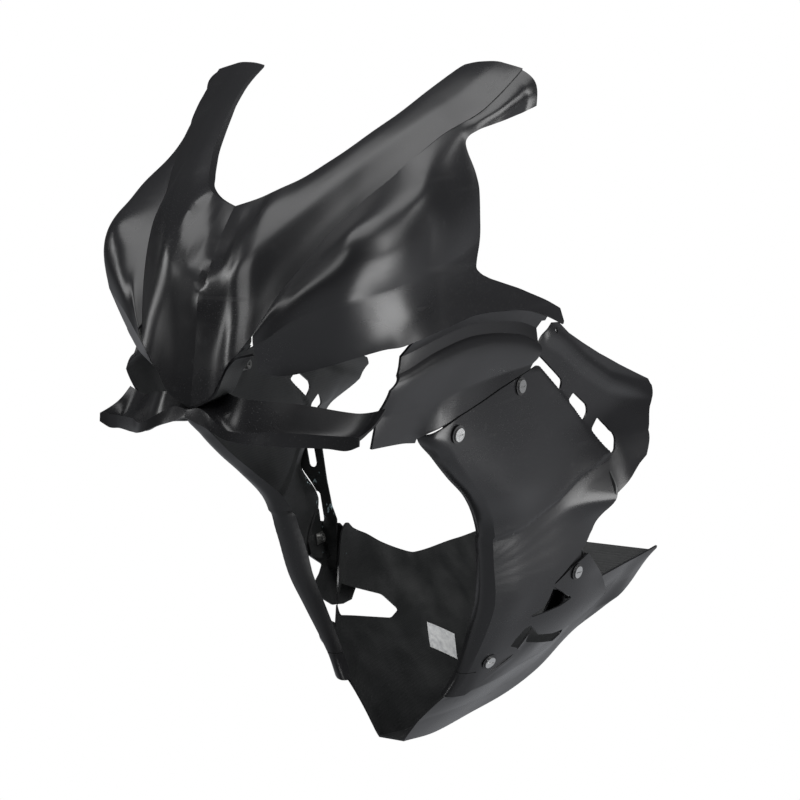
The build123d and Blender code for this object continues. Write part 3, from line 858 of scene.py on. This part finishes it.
def laminate():
    """Duller inside of the laminate, with its cloth showing through."""
    if bpy.data.materials.get("laminate"):
        return bpy.data.materials["laminate"]
    material, tree, surface = new_material("laminate")
    weave = use_group(tree, weave_group())
    base = blend_colour(
        tree, weave.outputs["Blotch"], tuple(colours().laminate), tuple(colours().laminate_pale)
    )
    marked = blend_colour(tree, weave.outputs["Resin"], base, tuple(colours().resin))
    tree.links.new(marked, surface.inputs["Base Color"])
    rough = remap(tree, weave.outputs["Blotch"], 0, 1, 0.34, 0.52)
    tree.links.new(rough, surface.inputs["Roughness"])
    normal = bump(tree, weave.outputs["Height"], 0.25, 0.0006)
    tree.links.new(normal, surface.inputs["Normal"])
    return material


def metal(name, colour, roughness):
    if bpy.data.materials.get(name):
        return bpy.data.materials[name]
    material, tree, surface = new_material(name)
    wear = use_group(tree, wear_group())
    surface.inputs["Base Color"].default_value = colour
    surface.inputs["Metallic"].default_value = 1.0
    rough = remap(tree, wear.outputs["Smears"], 0, 1, roughness, roughness + 0.15)
    tree.links.new(rough, surface.inputs["Roughness"])
    return material


def rubber():
    material, tree, surface = new_material("washer_ring")
    speck = remap(tree, noise(tree, 400, 3), 0.3, 0.7, 0.45, 0.65)
    tree.links.new(speck, surface.inputs["Roughness"])
    surface.inputs["Base Color"].default_value = (0.012, 0.012, 0.013, 1)
    return material


def paper():
    """White paper with a grey smudge."""
    material, tree, surface = new_material("label_paper")
    mottled = remap(tree, noise(tree, 120, 4), 0.35, 0.75)
    tone = blend_colour(tree, mottled, tuple(colours().paper), (0.55, 0.56, 0.57, 1))
    tree.links.new(tone, surface.inputs["Base Color"])
    surface.inputs["Roughness"].default_value = 0.6
    return material


def dress(node, material):
    """Gives a CAD node that keeps its shape a better material."""
    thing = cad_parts[node]
    if not thing.material_slots:
        raise RuntimeError(f"{node} has no material slot")
    for place in thing.material_slots:
        place.material = material


class BodyworkSizes(bpy.types.PropertyGroup):
    plate_step: bpy.props.FloatProperty(
        name="Plate step", description="How far the skin sinks behind the raised plate",
        default=0.0034, min=0.0, max=0.008, unit="LENGTH", precision=4,
    )
    frame_rise: bpy.props.FloatProperty(
        name="Frame rise", description="Height of the crease along the rear frame",
        default=0.003, min=0.0, max=0.008, unit="LENGTH", precision=4,
    )
    corner: bpy.props.FloatProperty(
        name="Corner radius", description="Rounding of the corners of trimmed openings",
        default=0.006, min=0.0, max=0.02, unit="LENGTH", precision=4,
    )
    sharp_angle: bpy.props.FloatProperty(
        name="Sharp angle", description="Angle above which an edge is drawn sharp",
        default=radians(32), min=radians(5), max=radians(90), subtype="ANGLE",
    )
    gloss: bpy.props.FloatProperty(
        name="Gel coat roughness", description="Roughness of the cleanest gel coat",
        default=0.26, min=0.0, max=1.0, subtype="FACTOR",
    )


def colour_property(name, description, default):
    return bpy.props.FloatVectorProperty(
        name=name, description=description, default=default, size=4, min=0.0, max=1.0,
        subtype="COLOR",
    )


class BodyworkColours(bpy.types.PropertyGroup):
    gel_coat: colour_property("Gel coat", "Colour of the outside", (0.011, 0.011, 0.012, 1))
    laminate: colour_property("Laminate", "Colour of the inside", (0.014, 0.015, 0.015, 1))
    laminate_pale: colour_property(
        "Pale laminate", "Paler patches inside", (0.030, 0.031, 0.031, 1)
    )
    dust: colour_property("Dust", "Colour of dust specks", (0.10, 0.10, 0.10, 1))
    resin: colour_property("Resin", "Colour of spilled bonding resin", (0.42, 0.55, 0.58, 1))
    steel: colour_property("Stud metal", "Colour of the stud heads", (0.72, 0.72, 0.71, 1))
    paper: colour_property("Paper", "Colour of the blank label", (0.86, 0.87, 0.86, 1))


class BODYWORK_OT_upper(bpy.types.Operator):
    """Make the upper fairing: hood, cheeks, arms, tray, flanks and beak"""
    bl_idname = "bodywork.upper"
    bl_label = "Upper fairing"

    def execute(self, context):
        radius = settings().corner / MM
        side_cut = rounded(rear_trim, radius)
        arm_cut = [(arm_end, 800), (arm_end, 1000), (10, 1000), (10, 800)]
        hood = skin("hood", on_fan, np.arange(0, 99.5, 0.9), hood_profile, (5, 64), wall)
        cheek = skin("cheek", on_fan, np.linspace(12, 126, 120), cheek_profile, (56, 14), wall)
        for thing in (hood, cheek):
            trim(thing, prism(side_cut, start=-past_middle))
            trim(thing, prism(arm_cut, start=-past_middle))
        flank = skin(
            "flank", on_length, np.linspace(-398, -50, 110), flank_profile, (5, 14, 44, 14), wall
        )
        trim(flank, prism(rounded(strut_cut, tongue_corner)))
        under = [(y, z + seam_gap / 2) for y, z in seam] + [(0, 600), (0, 440), (-300, 440)]
        trim(flank, prism(under))
        tongue = side_layer("tongue", 456, 556, wall + tongue_gap, 5.0, (6, 60), False)
        trim(tongue, prism(rounded(upper_tongue, tongue_corner)), "INTERSECT")
        drill(tongue, stud_places[:2])
        tray = skin("tray", on_width, np.linspace(0, 177, 90), tray_profile, (8, 34), wall)
        beak_line = [[(-x, z) for x, z in reversed(beak_foot[1:])] + beak_foot]
        beak = skin(
            "beak", on_length, np.linspace(*beak_reach, 14), lambda y: beak_line, (60,), wall
        )
        things = [hood, cheek, flank, tongue, tray]
        piece = gather("upper_skin", things, "both", "upper_fairing")
        add_to(piece, beak)
        return {"FINISHED"}


def add_to(piece, thing):
    """Adds one more skin to a finished piece."""
    work = bmesh.new()
    work.from_mesh(piece.data)
    work.from_mesh(thing.data)
    work.to_mesh(piece.data)
    work.free()
    bpy.data.objects.remove(thing)
    piece.data.shade_smooth()
    piece.data.set_sharp_from_angle(angle=settings().sharp_angle)


class BODYWORK_OT_side(bpy.types.Operator):
    """Make both side panels, with their vents, raised plate and tongues"""
    bl_idname = "bodywork.side"
    bl_label = "Side panels"

    def execute(self, context):
        radius = settings().corner / MM
        for mirrored, node in (("left", "left_side_panel"), ("right", "right_side_panel")):
            panel = side_layer("panel", 119, 598)
            top = [(-330, 481)] + [(y, z - seam_gap / 2) for y, z in seam[:8]]
            trim(panel, prism(side_outline + top), "INTERSECT")
            for vent in vents:
                trim(panel, prism(rounded(vent, radius)))
            drill(panel, stud_places)
            trim(panel, prism(circle(frame_hole, frame_hole_r)))
            things = [panel]
            for shape, low, high in ((rear_tongue, 205, 291), (front_tongue, 112, 192)):
                tongue = side_layer("tongue", low, high, wall + tongue_gap, 4.0, (8, 80), False)
                trim(tongue, prism(rounded(shape, 5)), "INTERSECT")
                drill(tongue, stud_places[2:])
                things.append(tongue)
            gather(node.replace("panel", "skin"), things, mirrored, node)
        return {"FINISHED"}


class BODYWORK_OT_belly(bpy.types.Operator):
    """Make the belly pan: bowl, side tabs and their returns"""
    bl_idname = "bodywork.belly"
    bl_label = "Belly pan"

    def execute(self, context):
        radius = settings().corner / MM
        bowl = skin(
            "bowl", on_length, np.linspace(-64, 545, 170), belly_profile, (10, 18, 14, 34), -wall
        )
        trim(bowl, prism(rounded(front_lip, 4), start=-past_middle), "INTERSECT")
        trim(bowl, prism(rounded(duct_hole, radius), start=120, amount=56))
        plate = side_layer("plate", 80, 268, 0.0, 3.0, (10, 110), False)
        trim(plate, prism(belly_outline), "INTERSECT")
        trim(plate, prism(rounded(opening_one, radius)))
        for thing in (bowl, plate):
            drill(thing, stud_places[2:], start=60)
        rows = []
        for y, z in tab_edge:
            x = side_x(y, z)
            rows.append([(x - 0.8, y, z), (x - 18, y, z), (max(x - 36, 180), y, z)])
        outer = np.array(rows, float)
        inner = outer - np.array(return_wall)
        back = closed_skin("return", outer, inner)
        gather("belly_skin", [bowl, plate, back], "both", "belly_pan")
        return {"FINISHED"}


class BODYWORK_OT_fittings(bpy.types.Operator):
    """Finish the duct flanges, studs, washers, clips and blank label"""
    bl_idname = "bodywork.fittings"
    bl_label = "Fittings"

    def execute(self, context):
        for node in ("left_duct_flange", "right_duct_flange"):
            dress(node, laminate())
        dress("quarter_turn_studs", metal("stud_metal", tuple(colours().steel), 0.22))
        dress("stud_washers", rubber())
        dress("stud_receptacles", metal("clip_metal", (0.35, 0.35, 0.34, 1), 0.35))
        dress("blank_label", paper())
        return {"FINISHED"}


def area_lamp(name, place, towards, size, watts):
    lamp = bpy.data.lights.new(name, "AREA")
    lamp.shape = "RECTANGLE"
    lamp.size, lamp.size_y = size
    lamp.energy = watts
    thing = bpy.data.objects.new(name, lamp)
    thing.location = place
    thing.rotation_euler = (Vector(towards) - Vector(place)).to_track_quat("-Z", "Y").to_euler()
    bpy.context.scene.collection.objects.link(thing)
    thing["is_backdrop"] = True


class BODYWORK_OT_stage(bpy.types.Operator):
    """Set up the camera, the plain white surroundings and the lamps"""
    bl_idname = "bodywork.stage"
    bl_label = "Stage"

    def execute(self, context):
        scene = context.scene
        camera = bpy.data.cameras.new("camera")
        camera.lens, camera.sensor_width = lens, sensor
        thing = bpy.data.objects.new("camera", camera)
        thing.location = camera_place
        thing.rotation_euler = Euler((radians(camera_tilt), 0.0, radians(camera_heading)))
        scene.collection.objects.link(thing)
        scene.camera = thing
        scene.view_settings.view_transform = "Standard"
        world = bpy.data.worlds.new("surroundings")
        world.use_nodes = True
        scene.world = world
        tree = world.node_tree
        tree.nodes.clear()
        paths = tree.nodes.new("ShaderNodeLightPath")
        seen = tree.nodes.new("ShaderNodeBackground")
        seen.inputs["Color"].default_value = (1, 1, 1, 1)
        around = tree.nodes.new("ShaderNodeBackground")
        direction = tree.nodes.new("ShaderNodeTexCoord")
        split = tree.nodes.new("ShaderNodeSeparateXYZ")
        tree.links.new(direction.outputs["Generated"], split.inputs["Vector"])
        ramp = tree.nodes.new("ShaderNodeValToRGB")
        tree.links.new(remap(tree, split.outputs["Z"], -1, 1), ramp.inputs["Fac"])
        stops = ramp.color_ramp.elements
        stops[0].position, stops[1].position = 0.0, 1.0
        stops[0].color, stops[1].color = (0.34, 0.35, 0.37, 1), (0.20, 0.205, 0.22, 1)
        for place, level in sky:
            stop = stops.new(place)
            stop.color = (level, level * 1.02, level * 1.07, 1)
        tree.links.new(ramp.outputs["Color"], around.inputs["Color"])
        mix = tree.nodes.new("ShaderNodeMixShader")
        end = tree.nodes.new("ShaderNodeOutputWorld")
        tree.links.new(paths.outputs["Is Camera Ray"], mix.inputs[0])
        tree.links.new(around.outputs[0], mix.inputs[1])
        tree.links.new(seen.outputs[0], mix.inputs[2])
        tree.links.new(mix.outputs[0], end.inputs[0])
        for lamp in lamps:
            area_lamp(*lamp)
        return {"FINISHED"}


class BODYWORK_PT_panel(bpy.types.Panel):
    """Lists the steps and the sizes and colours of the bodywork"""
    bl_idname = "BODYWORK_PT_panel"
    bl_label = "Bodywork"
    bl_space_type = "VIEW_3D"
    bl_region_type = "UI"
    bl_category = "Bodywork"

    def draw(self, context):
        layout = self.layout
        for operator in OPERATORS:
            layout.operator(operator.bl_idname)
        for holder in (context.scene.bodywork_sizes, context.scene.bodywork_colours):
            box = layout.box()
            for name in holder.__annotations__:
                box.prop(holder, name)


OPERATORS = (
    BODYWORK_OT_upper, BODYWORK_OT_side, BODYWORK_OT_belly, BODYWORK_OT_fittings,
    BODYWORK_OT_stage,
)
CLASSES = (BodyworkSizes, BodyworkColours, *OPERATORS, BODYWORK_PT_panel)


def register():
    for item in CLASSES:
        bpy.utils.register_class(item)
    bpy.types.Scene.bodywork_sizes = bpy.props.PointerProperty(type=BodyworkSizes)
    bpy.types.Scene.bodywork_colours = bpy.props.PointerProperty(type=BodyworkColours)


def unregister():
    del bpy.types.Scene.bodywork_colours
    del bpy.types.Scene.bodywork_sizes
    for item in reversed(CLASSES):
        bpy.utils.unregister_class(item)


def corners():
    low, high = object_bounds()
    return [list(low), list(high)]


def main():
    register()
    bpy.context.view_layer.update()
    bpy.ops.bodywork.upper()
    bpy.ops.bodywork.side()
    bpy.ops.bodywork.belly()
    bpy.ops.bodywork.fittings()
    bpy.ops.bodywork.stage()


if __name__ == "__main__":
    main()
